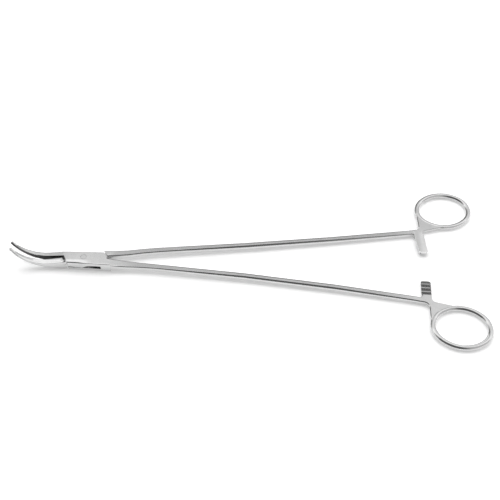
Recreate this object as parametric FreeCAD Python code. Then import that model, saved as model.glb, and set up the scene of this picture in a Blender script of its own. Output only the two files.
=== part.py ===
import FreeCAD, Part
import math
import os
from FreeCAD import Vector

# Long curved artery forceps with a box lock, lying flat with the jaws curving upwards.
# The origin is on the pivot axis, level with the underside of the lock.
# X runs towards the finger rings, Z runs up along the pivot pin.
# Each half is drawn closed, with its jaw face on the plane Y = 0, and then swung open to rest.
# Lengths are in millimetres and angles in degrees.

# Opening at rest, measured between the two halves from jaws closed
rest_opening = 5.6

# Box lock: two cheeks with slanting ends and a through slot, in which the other half's web turns
box_front = 10.5
box_rear = 12.5
box_end_slant = 30.0
box_thickness = 6.2
box_own_side = 4.4
box_far_side_front = 3.1
box_far_side_rear = 4.0
box_edge_radius = 0.6
slot_height = 2.0
slot_radius = 10.6
web_clearance = 0.05
shoulder_gap = 0.45
shoulder_bevel = 0.6
web_neck_clearance = 0.5

# Pivot pin, pressed into the cheeks and finished flush
pin_diameter = 3.2
pin_running_clearance = 0.04
pin_edge_chamfer = 0.15

# Jaws: a straight root and then an arc that lifts the tips
jaw_straight = 8.2
jaw_curve_radius = 19.5
jaw_curve_angle = 65.0
jaw_root_width = 3.1
jaw_tip_width = 1.2
jaw_root_height = 6.16
jaw_tip_height = 1.5
jaw_edge_radius = 0.8
jaw_relief = 0.25
jaw_nose = 0.6
jaw_width_power = 1.6
jaw_height_power = 2.0

# Cross serrations on the jaw faces, which mesh when the jaws close
serration_length = 16.5
serration_pitch = 1.0
serration_depth = 0.36
serration_land = 0.1
bite_clearance = 0.08

# Shanks: distances of the centre line from the closing plane, and the section, rounder at mid length
shank_flare = 40.0
shank_width = 3.25
shank_height = 2.9
shank_edge_radius = 0.6
shank_middle_width = 3.5
shank_middle_height = 3.2
shank_middle_radius = 1.3
shank_end_height = 2.44
shank_root_height = 5.8
shank_taper = 13.0
root_spans = 5
root_crowding = 1.5
tongue_root_offset = 2.6
tongue_root_width = 3.6
tongue_flare_offset = 5.2
tongue_end_offset = 14.2
tongue_bow = 0.93
box_root_offset = 1.92
box_root_width = 4.94
box_flare_offset = 2.45
box_end_offset = 14.5
box_bow = 1.6

# Finger rings: oval centre line of four arcs, section a little wider than it is high
ring_half_length = 14.5
ring_half_width = 12.0
ring_end_radius = 10.5
ring_bar_width = 2.8
ring_bar_height = 2.78
ring_tilt = 3.7
ring_start = 0.5
ring_clearance = 1.95

# Gusset between shank, ratchet arm and ring
gusset_length = 9.0
gusset_thickness = 2.5
gusset_chamfer = 0.35
gusset_first_angle = 175
gusset_last_angle = 270
gusset_angle_step = 19
ring_joint_first = 184.0
ring_joint_last = 262.0
outer_hollow_radius = 3.4
inner_hollow_radius = 2.2
arm_hollow_radius = 1.5

# Ratchet arms: the arm of the tongue half passes above the arm of the box half
arm_centre_x = 182.3
arm_width = 5.2
arm_taper = 0.3
arm_thickness = 2.0
arm_end_gap = 0.12
arm_lean = 7.0
arm_corner_radius = 1.2
arm_chamfer = 0.35
tooth_count = 4
tooth_pitch = 2.45
tooth_depth = 0.8
tooth_overlap = 0.7
tongue_arm_reach = 0.9

# Values that follow from the sizes above
mid_z = box_thickness / 2
jaw_start = box_front + 0.5
shank_start = box_rear - 3.5
web_thickness = slot_height - 2 * web_clearance
jaw_length = jaw_straight + jaw_curve_radius * math.radians(jaw_curve_angle)
serration_crest = (serration_depth - bite_clearance) / 2
ring_outer_length = ring_half_length + ring_bar_width / 2
ring_outer_width = ring_half_width + ring_bar_width / 2
ring_centre_x = arm_centre_x + ring_start + ring_outer_length
ring_offset = (tongue_end_offset + box_end_offset) / 2 + ring_clearance + ring_outer_width
overlap = 1.0

# The tongue half has its shank on +Y, the box half on -Y
TONGUE = 1
BOX = -1


def box_between(x0, x1, y0, y1, z0, z1):
    """A block given by its limits along each axis, in any order."""
    low = Vector(min(x0, x1), min(y0, y1), min(z0, z1))
    size = [abs(x1 - x0), abs(y1 - y0), abs(z1 - z0)]
    return Part.makeBox(size[0], size[1], size[2], low)


def plate(edges, z0, z1):
    """A flat piece between two heights, from the edges of its outline drawn at z = 0."""
    face = Part.Face(Part.Wire(edges))
    face.translate(Vector(0, 0, z0))
    return face.extrude(Vector(0, 0, z1 - z0))


def polygon(points):
    """The straight edges of a closed outline in the XY plane."""
    corners = [Vector(x, y, 0) for x, y in points]
    return [Part.makeLine(a, b) for a, b in zip(corners, corners[1:] + corners[:1])]


def rounded_polygon(corners):
    """The edges of a closed outline whose corners are given as x, y and radius."""
    points = [Vector(x, y, 0) for x, y, radius in corners]
    turns = []
    for i, point in enumerate(points):
        back = (points[i - 1] - point).normalize()
        onward = (points[(i + 1) % len(points)] - point).normalize()
        half_angle = back.getAngle(onward) / 2
        radius = corners[i][2]
        setback = radius / math.tan(half_angle)
        inset = radius / math.sin(half_angle) - radius
        middle = point + (back + onward).normalize() * inset
        turns.append((point + back * setback, middle, point + onward * setback))
    edges = []
    for i, (first, middle, last) in enumerate(turns):
        if corners[i][2] > 0:
            edges.append(arc(first, middle, last))
        edges.append(Part.makeLine(last, turns[(i + 1) % len(turns)][0]))
    return edges


def arc(first, middle, last):
    return Part.Arc(first, middle, last).toShape()


def round_long_edges(solid, radius, direction):
    """Round the edges that run mainly along one direction."""
    along = []
    for edge in solid.Edges:
        start = edge.valueAt(edge.FirstParameter)
        end = edge.valueAt(edge.LastParameter)
        run = (end - start).normalize()
        if abs(run.dot(direction)) > 0.9:
            along.append(edge)
    return solid.makeFillet(radius, along)


def jaw_frame(distance):
    """Point on the jaw centre line and its slope, at a distance from the end of the lock."""
    if distance <= jaw_straight:
        return -jaw_start - distance, mid_z, 0.0
    turn = (distance - jaw_straight) / jaw_curve_radius
    x = -jaw_start - jaw_straight - jaw_curve_radius * math.sin(turn)
    z = mid_z + jaw_curve_radius * (1 - math.cos(turn))
    return x, z, turn


def jaw_section(side, distance, scale=1.0):
    """Cross section of a jaw: flat towards the other jaw, rounded on the outside."""
    share = min(max(distance / jaw_length, 0.0), 1.0)
    width = scale * (jaw_tip_width + (jaw_root_width - jaw_tip_width) * (1 - share ** jaw_width_power))
    height = scale * (jaw_tip_height + (jaw_root_height - jaw_tip_height) * (1 - share) ** jaw_height_power)
    radius = min(jaw_edge_radius, 0.42 * width, 0.42 * height)
    bulge = radius * (1 - math.sqrt(0.5))
    x, z, turn = jaw_frame(distance)

    def at(outward, rise):
        return Vector(x + rise * math.sin(turn), -side * outward, z + rise * math.cos(turn))

    half = height / 2
    inner_low = at(-overlap, -half)
    inner_high = at(-overlap, half)
    top = at(width - radius, half)
    top_corner = at(width - bulge, half - bulge)
    side_high = at(width, half - radius)
    side_low = at(width, radius - half)
    low_corner = at(width - bulge, bulge - half)
    bottom = at(width - radius, -half)
    return Part.Wire([
        Part.makeLine(inner_low, inner_high),
        Part.makeLine(inner_high, top),
        arc(top, top_corner, side_high),
        Part.makeLine(side_high, side_low),
        arc(side_low, low_corner, bottom),
        Part.makeLine(bottom, inner_low),
    ])


def set_on_jaw(piece, distance):
    """Turn and move a piece drawn at the origin to a place along the jaw's centre line."""
    x, z, turn = jaw_frame(distance)
    piece.rotate(Vector(0, 0, 0), Vector(0, 1, 0), math.degrees(turn))
    piece.translate(Vector(x, 0, z))
    return piece


def serration(side, distance):
    """Wedge that cuts one groove across a jaw face, square to the jaw's centre line."""
    root = serration_depth - serration_crest
    half_width = (serration_pitch - serration_land) / 2
    slope = half_width / serration_depth
    start = -serration_crest - overlap
    wide = slope * (root - start)
    outline = polygon([(-wide, -side * start), (wide, -side * start), (0, -side * root)])
    return set_on_jaw(plate(outline, -jaw_root_height, jaw_root_height), distance)


def jaw(side):
    """One jaw with its serrated face; the two halves' teeth are half a pitch apart."""
    stations = [-3 * overlap, 0.0, jaw_straight / 2, jaw_straight]
    steps = 8
    curve = jaw_length - jaw_straight
    stations += [jaw_straight + curve * (i + 1) / steps for i in range(steps)]
    sections = [jaw_section(side, distance) for distance in stations]
    sections.append(jaw_section(side, jaw_length + 0.6 * jaw_nose, 0.8))
    sections.append(jaw_section(side, jaw_length + jaw_nose, 0.45))
    blank = Part.makeLoft(sections, True, True)
    reach = 2 * jaw_length
    face_cut = box_between(-reach, 0, side * serration_crest, side * reach, -reach, reach)
    first = 0.5 if side == BOX else 0.0
    count = int(serration_length / serration_pitch)
    grooves = []
    for i in range(-1, count):
        grooves.append(serration(side, jaw_length - (i + first) * serration_pitch))
    plain_end = jaw_length - (count - 0.5 + first) * serration_pitch
    relief_cut = box_between(0, reach, -side * jaw_relief, side * reach, -reach, reach)
    return blank.cut([face_cut, set_on_jaw(relief_cut, plain_end)] + grooves)


def shank_section(side, x, offset, width, height, radius):
    """Rectangle with rounded corners, standing across a shank."""
    radius = min(radius, 0.45 * width, 0.45 * height)
    bulge = radius * (1 - math.sqrt(0.5))
    half_w = width / 2
    half_h = height / 2

    def at(across, rise):
        return Vector(x, side * (offset + across), mid_z + rise)

    edges = []
    for sign_w, sign_h in [(1, 1), (-1, 1), (-1, -1), (1, -1)]:
        on_side = at(sign_w * half_w, sign_h * (half_h - radius))
        corner = at(sign_w * (half_w - bulge), sign_h * (half_h - bulge))
        on_flat = at(sign_w * (half_w - radius), sign_h * half_h)
        if sign_w == sign_h:
            edges.append((on_side, corner, on_flat))
        else:
            edges.append((on_flat, corner, on_side))
    wire = []
    for number, (first, corner, last) in enumerate(edges):
        wire.append(arc(first, corner, last))
        wire.append(Part.makeLine(last, edges[(number + 1) % 4][0]))
    return Part.Wire(wire)


def shank_offset(side, x):
    """Centre line of a shank beyond its flare: a straight line with a slight inward bow."""
    start = tongue_flare_offset if side == TONGUE else box_flare_offset
    end = tongue_end_offset if side == TONGUE else box_end_offset
    bow = tongue_bow if side == TONGUE else box_bow
    share = (x - shank_flare) / (arm_centre_x - shank_flare)
    return start + (end - start) * share - 4 * bow * share * (1 - share)


def shank(side):
    """Bar from the lock to the gusset: a tapering root and then an even bowed length."""
    root_offset = tongue_root_offset if side == TONGUE else box_root_offset
    root_width = tongue_root_width if side == TONGUE else box_root_width
    flare_offset = shank_offset(side, shank_flare)
    flare_slope = shank_offset(side, shank_flare + 1) - flare_offset
    root_run = shank_flare - shank_start
    sections = []
    for i in range(root_spans):
        share = (i / root_spans) ** root_crowding
        x = shank_start + root_run * share
        ease = share * share * (3 - 2 * share)
        drift = flare_slope * root_run * share * share * (share - 1)
        offset = root_offset + (flare_offset - root_offset) * ease + drift
        width = root_width + (shank_width - root_width) * ease
        left = 1 - min((x - shank_start) / shank_taper, 1.0)
        height = shank_height + (shank_root_height - shank_height) * left * left * (3 - 2 * left)
        sections.append(shank_section(side, x, offset, width, height, shank_edge_radius))
    gusset_share = 1 - 1.05 * gusset_length / (arm_centre_x - shank_flare)
    third = 1 / 3
    for share in [0.0, third, 2 * third, gusset_share, 1.0]:
        x = shank_flare + (arm_centre_x - shank_flare) * share
        swell = 4 * share * (1 - share)
        width = shank_width + (shank_middle_width - shank_width) * swell
        even_height = shank_height + (shank_end_height - shank_height) * share
        height = even_height + (shank_middle_height - (shank_height + shank_end_height) / 2) * swell
        radius = shank_edge_radius + (shank_middle_radius - shank_edge_radius) * swell
        sections.append(shank_section(side, x, shank_offset(side, x), width, height, radius))
    return Part.makeLoft(sections, True, True)


def ring_point(angle):
    """Point near the ring's centre line: position along X and distance from the closing plane."""
    x = ring_half_length * math.cos(math.radians(angle))
    y = ring_half_width * math.sin(math.radians(angle))
    tilt = math.radians(ring_tilt)
    turned_x = x * math.cos(tilt) - y * math.sin(tilt)
    turned_y = x * math.sin(tilt) + y * math.cos(tilt)
    return ring_centre_x + turned_x, ring_offset + turned_y


def ring(side):
    """Finger ring: a round bar bent to an oval of two end arcs and two side arcs."""
    end_centre = ring_half_length - ring_end_radius
    side_radius = (end_centre ** 2 + ring_half_width ** 2 - ring_end_radius ** 2)
    side_radius = side_radius / (2 * (ring_half_width - ring_end_radius))
    side_centre = side_radius - ring_half_width
    joint_angle = math.degrees(math.atan2(side_centre, end_centre))
    near_end = Vector(-end_centre, 0, 0)
    near_side = Vector(0, side * side_centre, 0)
    arcs = [
        (Vector(end_centre, 0, 0), ring_end_radius, -joint_angle, joint_angle),
        (Vector(0, -side * side_centre, 0), side_radius, joint_angle, 180 - joint_angle),
        (near_end, ring_end_radius, 180 - joint_angle, ring_joint_first),
        (near_end, ring_end_radius, ring_joint_first, 180 + joint_angle),
        (near_side, side_radius, 180 + joint_angle, ring_joint_last),
        (near_side, side_radius, ring_joint_last, 360 - joint_angle),
    ]
    pieces = []
    for centre, radius, start, stop in arcs:
        middle = centre + Vector(radius, 0, 0)
        wide = middle + Vector(ring_bar_width / 2, 0, 0)
        high = middle + Vector(0, 0, ring_bar_height / 2)
        section = Part.Face(Part.Wire(Part.Ellipse(wide, high, middle).toShape()))
        section.rotate(centre, Vector(0, 0, 1), side * start)
        pieces.append(section.revolve(centre, Vector(0, 0, side), stop - start))
    oval = pieces[0].fuse(pieces[1:])
    oval.rotate(Vector(0, 0, 0), Vector(0, 0, 1), side * ring_tilt)
    oval.translate(Vector(ring_centre_x, side * ring_offset, mid_z))
    return oval


def gusset(side):
    """Flat web that joins the shank, the ratchet arm and the ring with hollow corners."""
    sink = 0.1
    half_shank = shank_width / 2 - 3 * sink
    outer_x = ring_centre_x - ring_outer_length + 5 * sink
    arm_left = arm_centre_x - arm_width / 2 + sink
    arm_right = arm_centre_x + arm_width / 2 - sink
    start_x = arm_centre_x - gusset_length
    inner_y = shank_offset(side, arm_centre_x) - half_shank
    arm_y = inner_y - inner_hollow_radius
    corners = [
        (start_x, shank_offset(side, start_x) + half_shank, 0),
        (outer_x, shank_offset(side, outer_x) + half_shank, outer_hollow_radius),
        (outer_x, ring_offset - 0.5 * ring_half_width, 0),
    ]
    angles = range(gusset_first_angle, gusset_last_angle + 1, gusset_angle_step)
    corners += [ring_point(angle) + (0,) for angle in angles]
    corners += [
        (arm_right, inner_y + shank_width / 2, inner_hollow_radius),
        (arm_right, arm_y, 0),
        (arm_left, arm_y, 0),
        (arm_left, shank_offset(side, arm_left) - half_shank, arm_hollow_radius),
        (start_x, shank_offset(side, start_x) - half_shank, 0),
    ]
    half = gusset_thickness / 2
    outline = rounded_polygon([(x, side * y, radius) for x, y, radius in corners])
    blank = plate(outline, mid_z - half, mid_z + half)
    rims = [edge for edge in blank.Edges if edge.Curve.TypeId == "Part::GeomCircle"]
    return blank.makeChamfer(gusset_chamfer, rims)


def ratchet_arm(side):
    """Arm that reaches across from the shank, with saw teeth facing the other arm."""
    root_y = shank_offset(side, arm_centre_x)
    tip_y = -tongue_arm_reach if side == TONGUE else tongue_arm_reach + arm_end_gap
    facing = -1 if side == TONGUE else 1
    crest_z = mid_z + facing * tooth_overlap / 2
    back_z = crest_z - facing * arm_thickness
    half = arm_width / 2
    lean = math.tan(math.radians(arm_lean)) if side == TONGUE else 0.0
    drift = lean * (root_y - tip_y) / 2
    tip_half = half - arm_taper if side == TONGUE else half
    outline = rounded_polygon([
        (arm_centre_x - half, side * root_y, 0),
        (arm_centre_x + drift - tip_half, side * tip_y, arm_corner_radius),
        (arm_centre_x + drift + tip_half, side * tip_y, arm_corner_radius),
        (arm_centre_x + half, side * root_y, 0),
    ])
    arm = plate(outline, min(crest_z, back_z), max(crest_z, back_z))
    rims = []
    for edge in arm.Edges:
        middle = edge.CenterOfMass
        on_back = abs(edge.BoundBox.ZMin - back_z) < 1e-6 and abs(edge.BoundBox.ZMax - back_z) < 1e-6
        if on_back and side * middle.y < root_y - 1e-6:
            rims.append(edge)
    arm = arm.makeChamfer(arm_chamfer, rims)
    cuts = []
    for i in range(tooth_count):
        start_y = side * (tip_y + i * tooth_pitch)
        end_y = side * (tip_y + (i + 1) * tooth_pitch)
        valley = crest_z - facing * tooth_depth
        above = crest_z + facing * overlap
        x0 = arm_centre_x - arm_width
        profile = [
            Vector(x0, start_y, valley),
            Vector(x0, start_y, above),
            Vector(x0, end_y, above),
            Vector(x0, end_y, crest_z),
        ]
        face = Part.Face(Part.makePolygon(profile + profile[:1]))
        cuts.append(face.extrude(Vector(2 * arm_width, 0, 0)))
    return arm.cut(cuts)


def handle(side):
    """Shank, gusset, ring and ratchet arm of one half."""
    return shank(side).fuse([gusset(side), ring(side), ratchet_arm(side)])


def lock_end(end, y, gap=0.0):
    """X of the front (-1) or rear (1) slanting end of the cheeks; a gap moves it outwards."""
    slant = math.radians(box_end_slant)
    middle = box_rear if end > 0 else -box_front
    return middle - y * math.tan(slant) + end * gap / math.cos(slant)


def lock_cheeks():
    """Outside of the box: flat cheeks with long rounded edges and slanting ends."""
    low = -box_own_side
    front_high = box_far_side_front
    rear_high = box_far_side_rear
    outline = polygon([
        (lock_end(-1, low), low),
        (lock_end(1, low), low),
        (lock_end(1, rear_high), rear_high),
        (lock_end(-1, front_high), front_high),
    ])
    block = plate(outline, 0, box_thickness)
    return round_long_edges(block, box_edge_radius, Vector(1, 0, 0))


def lock_slot():
    """Space for the web: a disc about the pivot, open where the web leaves the box."""
    low = mid_z - slot_height / 2
    high = mid_z + slot_height / 2
    reach = 2 * box_rear
    rear_edge = box_root_width / 2 - box_root_offset
    disc = Part.makeCylinder(slot_radius, slot_height, Vector(0, 0, low))
    front = box_between(-reach, 0, -reach, 0, low, high)
    rear = box_between(0, reach, rear_edge, reach, low, high)
    return disc.fuse([front, rear])


def box_half():
    body = lock_cheeks().fuse([jaw(BOX), handle(BOX)])
    hole = Part.makeCylinder(pin_diameter / 2, 2 * box_thickness, Vector(0, 0, -mid_z))
    body = body.cut([lock_slot(), hole])
    body.rotate(Vector(0, 0, 0), Vector(0, 0, 1), -rest_opening / 2)
    return body


def lock_web():
    """Thin web of the tongue half, from its jaw through the slot to its shank."""
    inner = jaw_relief + 0.1
    inner_rear = tongue_root_offset - tongue_root_width / 2 + 0.1
    neck = slot_radius - web_neck_clearance
    front = -box_front - 2.5
    rear = box_rear + 2.0
    outline = polygon([
        (front, -inner),
        (-neck, -inner),
        (-1.0, box_far_side_front + 0.2),
        (rear, tongue_root_offset + 0.4 * tongue_root_width),
        (rear, inner_rear),
        (neck, inner_rear),
        (2.0, -box_own_side + 0.5),
        (-1.0, -box_own_side + 0.15),
        (front, -0.9 * jaw_root_width),
    ])
    half = web_thickness / 2
    return plate(outline, mid_z - half, mid_z + half)


def shoulder_space():
    """Room for the cheeks between the two shoulders of the tongue half, whose upper edges are bevelled."""
    reach = 4 * box_own_side

    def outline(gap):
        return polygon([
            (lock_end(-1, -reach, gap), -reach),
            (lock_end(1, -reach, gap), -reach),
            (lock_end(1, reach, gap), reach),
            (lock_end(-1, reach, gap), reach),
        ])

    space = plate(outline(shoulder_gap), -box_thickness, 2 * box_thickness)
    low = Part.Wire(outline(shoulder_gap - overlap))
    low.translate(Vector(0, 0, box_thickness - shoulder_bevel - overlap))
    high = Part.Wire(outline(shoulder_gap + shoulder_bevel + overlap))
    high.translate(Vector(0, 0, box_thickness + overlap))
    return space.fuse(Part.makeLoft([low, high], True, True))


def tongue_half():
    body = jaw(TONGUE).fuse(handle(TONGUE)).cut(shoulder_space()).fuse(lock_web())
    bore_radius = pin_diameter / 2 + pin_running_clearance
    body = body.cut(Part.makeCylinder(bore_radius, box_thickness))
    body.rotate(Vector(0, 0, 0), Vector(0, 0, 1), rest_opening / 2)
    return body


def pivot_pin():
    pin = Part.makeCylinder(pin_diameter / 2, box_thickness)
    rims = [edge for edge in pin.Edges if edge.Closed and edge.Length > 1]
    return pin.makeChamfer(pin_edge_chamfer, rims)


def save(shape, name):
    print(name, "valid", shape.isValid(), "solids", len(shape.Solids), "volume", round(shape.Volume, 2))
    shape.exportStep("parts/" + name + ".step")


os.makedirs("parts", exist_ok=True)
save(box_half(), "box_half")
save(tongue_half(), "tongue_half")
save(pivot_pin(), "pivot_pin")
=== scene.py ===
import math

import bpy
from mathutils import Matrix, Vector

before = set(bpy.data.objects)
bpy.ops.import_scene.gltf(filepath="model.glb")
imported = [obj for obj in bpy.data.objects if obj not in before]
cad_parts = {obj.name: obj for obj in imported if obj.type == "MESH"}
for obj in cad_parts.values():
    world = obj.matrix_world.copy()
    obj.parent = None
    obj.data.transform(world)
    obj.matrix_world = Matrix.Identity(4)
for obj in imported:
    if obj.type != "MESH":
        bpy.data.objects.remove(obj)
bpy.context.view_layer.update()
scene = bpy.context.scene
scene.view_settings.view_transform = "Standard"

# Camera, in metres in the frame's axes: it looks down on the open forceps at 51 degrees
CAMERA_PLACE = Vector((0.09419, -0.27509, 0.35463))
CAMERA_TURN = math.radians(1.0555)
CAMERA_DROP = math.radians(51.048)
CAMERA_ROLL = math.radians(0.111)
CAMERA_LENS = 59.8685
CAMERA_SENSOR = 36.0

# Table under the lock's rear lower edge, the box half's ratchet arm and the tongue half's ring
TABLE_RISE_X = 0.00856
TABLE_RISE_Y = 0.00052
TABLE_DROP = 0.000125
TABLE_SIZE = 6.0
TABLE_COLOUR = (0.9, 0.9, 0.9, 1)
TABLE_ROUGHNESS = 0.9
TABLE_GLOW = 0.3
WHITE = (1, 1, 1, 1)


def node(tree, kind, **settings):
    """Add a shader node and set its plain properties and unlinked inputs."""
    made = tree.nodes.new(kind)
    for name, value in settings.items():
        if name in made.inputs:
            made.inputs[name].default_value = value
        else:
            setattr(made, name, value)
    return made


def mask(tree, sources, limits):
    """Product of smooth steps, each given as a source with its values for 0 and for 1."""
    product = None
    for source, zero, one in limits:
        step = node(tree, "ShaderNodeMapRange", interpolation_type="SMOOTHSTEP")
        step.inputs["From Min"].default_value = zero
        step.inputs["From Max"].default_value = one
        tree.links.new(sources[source], step.inputs["Value"])
        if product is None:
            product = step.outputs["Result"]
        else:
            both = node(tree, "ShaderNodeMath", operation="MULTIPLY")
            tree.links.new(product, both.inputs[0])
            tree.links.new(step.outputs["Result"], both.inputs[1])
            product = both.outputs["Value"]
    return product


def steel(name, grey, rough, streak, brush_scale, leans=(), painted_shades=()):
    """Satin stainless steel: fine brush lines, faint clouding and uneven roughness.

    A lean tips the surface a little where its mask is 1, as on a crowned or rounded face.
    A painted shade multiplies the grey there, standing in for shade on faces that other parts keep the light
    off.
    """
    material = bpy.data.materials.new(name)
    material.use_nodes = True
    tree = material.node_tree
    tree.nodes.clear()
    out = node(tree, "ShaderNodeOutputMaterial")
    shader = node(tree, "ShaderNodeBsdfPrincipled", Metallic=1.0)
    place = node(tree, "ShaderNodeTexCoord")
    stretch = node(tree, "ShaderNodeMapping", Scale=brush_scale)
    brush = node(tree, "ShaderNodeTexNoise", Scale=1.0, Detail=3.0, Roughness=0.6)
    cloud = node(tree, "ShaderNodeTexNoise", Scale=120.0, Detail=4.0, Roughness=0.55)
    spot = node(tree, "ShaderNodeSeparateXYZ")
    facing = node(tree, "ShaderNodeSeparateXYZ")
    tree.links.new(place.outputs["Object"], stretch.inputs["Vector"])
    tree.links.new(stretch.outputs["Vector"], brush.inputs["Vector"])
    tree.links.new(place.outputs["Object"], cloud.inputs["Vector"])
    tree.links.new(place.outputs["Object"], spot.inputs["Vector"])
    tree.links.new(place.outputs["Normal"], facing.inputs["Vector"])
    sources = {
        "x": spot.outputs["X"], "y": spot.outputs["Y"], "z": spot.outputs["Z"],
        "nx": facing.outputs["X"], "ny": facing.outputs["Y"], "nz": facing.outputs["Z"],
    }

    colour = node(tree, "ShaderNodeMapRange")
    colour.inputs["From Min"].default_value = 0.3
    colour.inputs["From Max"].default_value = 0.7
    colour.inputs["To Min"].default_value = grey * 0.95
    colour.inputs["To Max"].default_value = grey * 1.04
    tree.links.new(cloud.outputs["Fac"], colour.inputs["Value"])
    tone = colour.outputs["Result"]
    # Painted shade: the grey is multiplied down where each mask is 1
    for factor, limits in painted_shades:
        darken = node(tree, "ShaderNodeMapRange")
        darken.inputs["To Min"].default_value = 1.0
        darken.inputs["To Max"].default_value = factor
        tree.links.new(mask(tree, sources, limits), darken.inputs["Value"])
        product = node(tree, "ShaderNodeMath", operation="MULTIPLY")
        tree.links.new(tone, product.inputs[0])
        tree.links.new(darken.outputs["Result"], product.inputs[1])
        tone = product.outputs["Value"]
    tree.links.new(tone, shader.inputs["Base Color"])

    roughness = node(tree, "ShaderNodeMapRange")
    roughness.inputs["From Min"].default_value = 0.25
    roughness.inputs["From Max"].default_value = 0.75
    roughness.inputs["To Min"].default_value = rough * 0.8
    roughness.inputs["To Max"].default_value = rough * 1.2
    tree.links.new(brush.outputs["Fac"], roughness.inputs["Value"])
    tree.links.new(roughness.outputs["Result"], shader.inputs["Roughness"])

    normal = place.outputs["Normal"]
    for direction, limits in leans:
        amount = node(tree, "ShaderNodeVectorMath", operation="SCALE")
        amount.inputs[0].default_value = direction
        tree.links.new(mask(tree, sources, limits), amount.inputs["Scale"])
        tipped = node(tree, "ShaderNodeVectorMath", operation="ADD")
        tree.links.new(normal, tipped.inputs[0])
        tree.links.new(amount.outputs["Vector"], tipped.inputs[1])
        normal = tipped.outputs["Vector"]
    to_world = node(tree, "ShaderNodeVectorTransform", vector_type="NORMAL")
    to_world.convert_from = "OBJECT"
    to_world.convert_to = "WORLD"
    tree.links.new(normal, to_world.inputs["Vector"])
    unit = node(tree, "ShaderNodeVectorMath", operation="NORMALIZE")
    tree.links.new(to_world.outputs["Vector"], unit.inputs[0])

    bump = node(tree, "ShaderNodeBump", Strength=streak, Distance=0.00002)
    tree.links.new(brush.outputs["Fac"], bump.inputs["Height"])
    tree.links.new(unit.outputs["Vector"], bump.inputs["Normal"])
    tree.links.new(bump.outputs["Normal"], shader.inputs["Normal"])
    tree.links.new(shader.outputs["BSDF"], out.inputs["Surface"])
    return material


def table_material():
    """Matt white that looks whiter to the camera and in reflections, and gives no light of its own."""
    material = bpy.data.materials.new("white_table")
    material.use_nodes = True
    tree = material.node_tree
    shader = tree.nodes["Principled BSDF"]
    shader.inputs["Base Color"].default_value = TABLE_COLOUR
    shader.inputs["Roughness"].default_value = TABLE_ROUGHNESS
    shader.inputs["Specular IOR Level"].default_value = 0.0
    shader.inputs["Emission Color"].default_value = WHITE

    path = node(tree, "ShaderNodeLightPath")
    seen = node(tree, "ShaderNodeMath", operation="MAXIMUM")
    strength = node(tree, "ShaderNodeMath", operation="MULTIPLY")
    strength.inputs[1].default_value = TABLE_GLOW
    tree.links.new(path.outputs["Is Camera Ray"], seen.inputs[0])
    tree.links.new(path.outputs["Is Glossy Ray"], seen.inputs[1])
    tree.links.new(seen.outputs["Value"], strength.inputs[0])
    tree.links.new(strength.outputs["Value"], shader.inputs["Emission Strength"])
    return material


# Satin steel of the two halves and of the pin: grey, roughness, depth of the brush lines and their fineness
STEEL_GREY = 0.66
STEEL_ROUGH = 0.18
STEEL_STREAK = 0.2
PIN_GREY = 0.65
PIN_ROUGH = 0.19
BRUSH_SCALE = (60, 4000, 4000)
SHARP_ANGLE = math.radians(28)

# Limits that several leans and shades share: flat tops, rounded front edges and the start of the arms
UP = ("nz", 0.9, 0.98)
FRONT_EDGE = ("ny", -0.03, -0.12)
ROUND_FRONT = ("ny", -0.1, -0.3)
NOT_UPRIGHT = ("ny", -0.99, -0.93)
PAST_ARM_START = ("x", 0.178, 0.1785)
BEFORE_GUSSET = ("x", 0.184, 0.176)
SHANK_TOP_END = ("x", 0.178, 0.165)

box_leans = [
    # Crowned front corner of the lock
    ((0, -0.2, 0), [UP, ("y", -0.0012, -0.0032), ("x", 0.006, -0.004), ("x", -0.0125, -0.0095)]),
    # Top of the lock
    ((0, -0.035, 0), [UP, ("x", 0.016, 0.012), ("x", -0.012, -0.008)]),
    # Top of the shank
    ((0, 0.06, 0), [UP, ("x", 0.016, 0.03), SHANK_TOP_END]),
    # Front edge of the shank
    ((0, -0.3, 0), [FRONT_EDGE, ("x", 0.016, 0.03), BEFORE_GUSSET]),
    # Front edge of the lock behind its crowned corner
    ((0, 0.3, 0.25), [("ny", -0.15, -0.35), ("ny", -0.97, -0.85), ("x", -0.004, 0.003), ("x", 0.022, 0.014)]),
    # Crests of the ratchet teeth
    ((0, -0.45, 0.1), [("ny", 0.2, 0.28), PAST_ARM_START, ("z", 0.00334, 0.00340)]),
    # Upright faces of the ratchet teeth
    ((0, 0.3, 1.9), [
        ("ny", -0.85, -0.95), PAST_ARM_START, ("x", 0.187, 0.1865),
        ("y", -0.0235, -0.0225), ("z", 0.0024, 0.0025),
    ]),
]
# Painted shade on the box half's jaw, where the other jaw and the lock keep the light off
box_painted_shades = [
    # Painted shade on the inner face of the jaw, dark by the lock and fading towards the tip
    (0.12, [("ny", -0.4, -0.8), ("x", -0.060, -0.020), ("x", -0.0110, -0.0122)]),
    # Painted shade on the rounded edge above it
    (0.45, [("ny", -0.3, -0.6), ("x", -0.012, -0.018)]),
]
box_steel = steel("box_half_steel", STEEL_GREY, STEEL_ROUGH, STEEL_STREAK, BRUSH_SCALE, box_leans, box_painted_shades)

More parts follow.
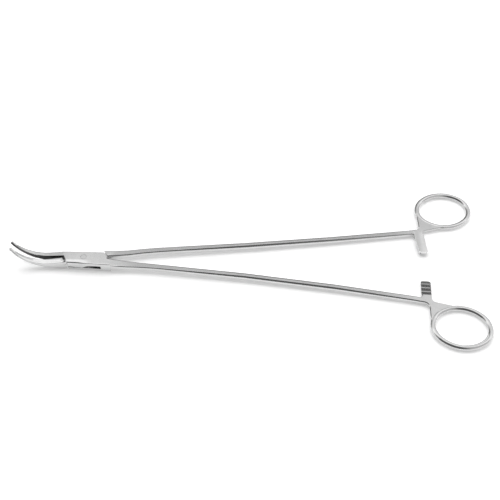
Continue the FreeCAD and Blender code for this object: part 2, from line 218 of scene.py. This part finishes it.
tongue_leans = [
    # Crowned top of the jaw
    ((0, -0.2, 0), [UP, ("y", -0.0012, -0.0022), ("x", -0.0105, -0.013)]),
    # Top of the shank
    ((0, 0.06, 0), [UP, ("x", 0.013, 0.018), SHANK_TOP_END]),
    # Front edge of the shank
    ((0, -0.3, 0), [FRONT_EDGE, ("x", 0.013, 0.018), BEFORE_GUSSET]),
    # Right side of the ratchet arm
    ((0.3, -0.12, 0), [UP, ("x", 0.1805, 0.1845), ("y", 0.024, 0.019)]),
    # Rounded front edge of the jaw
    ((0, 0, 3), [ROUND_FRONT, NOT_UPRIGHT, ("x", -0.0095, -0.0115), ("x", -0.040, -0.030)]),
    # Free end of the ratchet arm
    ((0, 0, 3), [ROUND_FRONT, NOT_UPRIGHT, ("x", 0.178, 0.179), ("y", 0.016, 0.014)]),
    # Finger ring
    ((0.12, 0, 0), [("x", 0.188, 0.193)]),
]
tongue_painted_shades = [
    # Painted shade on the inner face of the jaw, which faces the other jaw
    (0.3, [("ny", 0.5, 0.85), ("x", -0.0095, -0.0125)]),
]
tongue_steel = steel(
    "tongue_half_steel", STEEL_GREY, STEEL_ROUGH, STEEL_STREAK, BRUSH_SCALE, tongue_leans, tongue_painted_shades,
)

# Pin of the same steel, finished with the lock
pin_leans = [((0, -0.03, 0), [UP])]
pin_steel = steel("pin_steel", PIN_GREY, PIN_ROUGH, STEEL_STREAK, BRUSH_SCALE, pin_leans)

for name, material in [("box_half", box_steel), ("tongue_half", tongue_steel), ("pivot_pin", pin_steel)]:
    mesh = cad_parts[name].data
    mesh.materials.clear()
    mesh.materials.append(material)
    mesh.shade_smooth()
    mesh.set_sharp_from_angle(angle=SHARP_ANGLE)

# White table, tipped by half a degree so that the forceps rest on it
bpy.ops.mesh.primitive_plane_add(size=TABLE_SIZE)
table = bpy.context.object
table.name = "table"
table.rotation_euler = (math.atan(TABLE_RISE_Y), -math.atan(TABLE_RISE_X), 0)
table.location = (0, 0, -TABLE_DROP)
table.data.materials.append(table_material())

# Room: white to the camera. Light and reflections see a room that is dark in front, has a bright
# ceiling panel behind the zenith and fades towards the rear wall. The angle runs from the front
# horizon over the zenith to the rear horizon.
ROOM_STOPS = [
    (-180, 0.9), (-4, 0.9), (2, 0.16), (25, 0.11), (70, 0.11), (86, 0.25), (98, 1.3), (112, 1.4),
    (122, 0.95), (133, 0.74), (150, 0.30), (163, 0.06), (178, 0.08),
]

# Walls, as the share of a direction along X where each begins and where it is full
RIGHT_WALL = (0.1, 0.5)
LEFT_WALL = (-0.8, -0.95)
WALL_LEVEL = 0.6
WALL_SHARE_OF_ROOM = 0.5

world = bpy.data.worlds.new("room")
scene.world = world
world.use_nodes = True
tree = world.node_tree
tree.nodes.clear()
out = node(tree, "ShaderNodeOutputWorld")
white = node(tree, "ShaderNodeBackground", Strength=1.0)
white.inputs["Color"].default_value = WHITE
room = node(tree, "ShaderNodeBackground", Strength=1.0)
mix = node(tree, "ShaderNodeMixShader")
path = node(tree, "ShaderNodeLightPath")
place = node(tree, "ShaderNodeTexCoord")
split = node(tree, "ShaderNodeSeparateXYZ")
front = node(tree, "ShaderNodeMath", operation="MULTIPLY")
front.inputs[1].default_value = -1.0
angle = node(tree, "ShaderNodeMath", operation="ARCTAN2")
share = node(tree, "ShaderNodeMapRange")
share.inputs["From Min"].default_value = -math.pi
share.inputs["From Max"].default_value = math.pi
ramp = node(tree, "ShaderNodeValToRGB")
ramp.color_ramp.interpolation = "LINEAR"
stops = ramp.color_ramp.elements
while len(stops) < len(ROOM_STOPS):
    stops.new(0.5)
for stop, (degrees, level) in zip(stops, ROOM_STOPS):
    stop.position = (degrees + 180) / 360
for stop, (degrees, level) in zip(stops, ROOM_STOPS):
    stop.color = (level / 2, level / 2, level / 2, 1)
double = node(tree, "ShaderNodeMath", operation="MULTIPLY")
double.inputs[1].default_value = 2.0
tree.links.new(place.outputs["Generated"], split.inputs["Vector"])
tree.links.new(split.outputs["Y"], front.inputs[0])
tree.links.new(split.outputs["Z"], angle.inputs[0])
tree.links.new(front.outputs["Value"], angle.inputs[1])
tree.links.new(angle.outputs["Value"], share.inputs["Value"])
tree.links.new(share.outputs["Result"], ramp.inputs["Fac"])
tree.links.new(ramp.outputs["Color"], double.inputs[0])

# Bright walls to the right and far to the left of the dark front
right = node(tree, "ShaderNodeMapRange", interpolation_type="SMOOTHSTEP")
right.inputs["From Min"].default_value = RIGHT_WALL[0]
right.inputs["From Max"].default_value = RIGHT_WALL[1]
left = node(tree, "ShaderNodeMapRange", interpolation_type="SMOOTHSTEP")
left.inputs["From Min"].default_value = LEFT_WALL[0]
left.inputs["From Max"].default_value = LEFT_WALL[1]
walls = node(tree, "ShaderNodeMath", operation="MAXIMUM")
wall_level = node(tree, "ShaderNodeMath", operation="MULTIPLY_ADD")
wall_level.inputs[1].default_value = WALL_SHARE_OF_ROOM
wall_level.inputs[2].default_value = WALL_LEVEL
blend = node(tree, "ShaderNodeMix")
tree.links.new(split.outputs["X"], right.inputs["Value"])
tree.links.new(split.outputs["X"], left.inputs["Value"])
tree.links.new(right.outputs["Result"], walls.inputs[0])
tree.links.new(left.outputs["Result"], walls.inputs[1])
tree.links.new(walls.outputs["Value"], blend.inputs["Factor"])
tree.links.new(double.outputs["Value"], wall_level.inputs[0])
tree.links.new(double.outputs["Value"], blend.inputs["A"])
tree.links.new(wall_level.outputs["Value"], blend.inputs["B"])
tree.links.new(blend.outputs["Result"], room.inputs["Color"])
tree.links.new(path.outputs["Is Camera Ray"], mix.inputs["Fac"])
tree.links.new(room.outputs["Background"], mix.inputs[1])
tree.links.new(white.outputs["Background"], mix.inputs[2])
tree.links.new(mix.outputs["Shader"], out.inputs["Surface"])


def soft_light(name, place, aim, size, power):
    data = bpy.data.lights.new(name, "AREA")
    data.shape = "RECTANGLE"
    data.size = size[0]
    data.size_y = size[1]
    data.energy = power
    light = bpy.data.objects.new(name, data)
    light.location = place
    light.rotation_euler = (Vector(aim) - Vector(place)).to_track_quat("-Z", "Y").to_euler()
    scene.collection.objects.link(light)
    return light


# The light that lays the soft shadow in front of the forceps; the room carries its reflection
LIGHT_PLACE = (0.05, 0.5, 1.0)
LIGHT_AIM = (0.09, 0.0, 0.0)
LIGHT_SIZE = (1.2, 1.0)
LIGHT_POWER = 6.0
top_light = soft_light("top_light", LIGHT_PLACE, LIGHT_AIM, LIGHT_SIZE, LIGHT_POWER)
top_light.visible_glossy = False

camera_data = bpy.data.cameras.new("camera")
camera_data.lens = CAMERA_LENS
camera_data.sensor_width = CAMERA_SENSOR
camera_data.dof.use_dof = False
camera = bpy.data.objects.new("camera", camera_data)
turn = Matrix.Rotation(CAMERA_TURN, 4, "Z")
drop = Matrix.Rotation(math.pi / 2 - CAMERA_DROP, 4, "X")
roll = Matrix.Rotation(CAMERA_ROLL, 4, "Z")
camera.matrix_world = Matrix.Translation(CAMERA_PLACE) @ turn @ drop @ roll
scene.collection.objects.link(camera)
scene.camera = camera
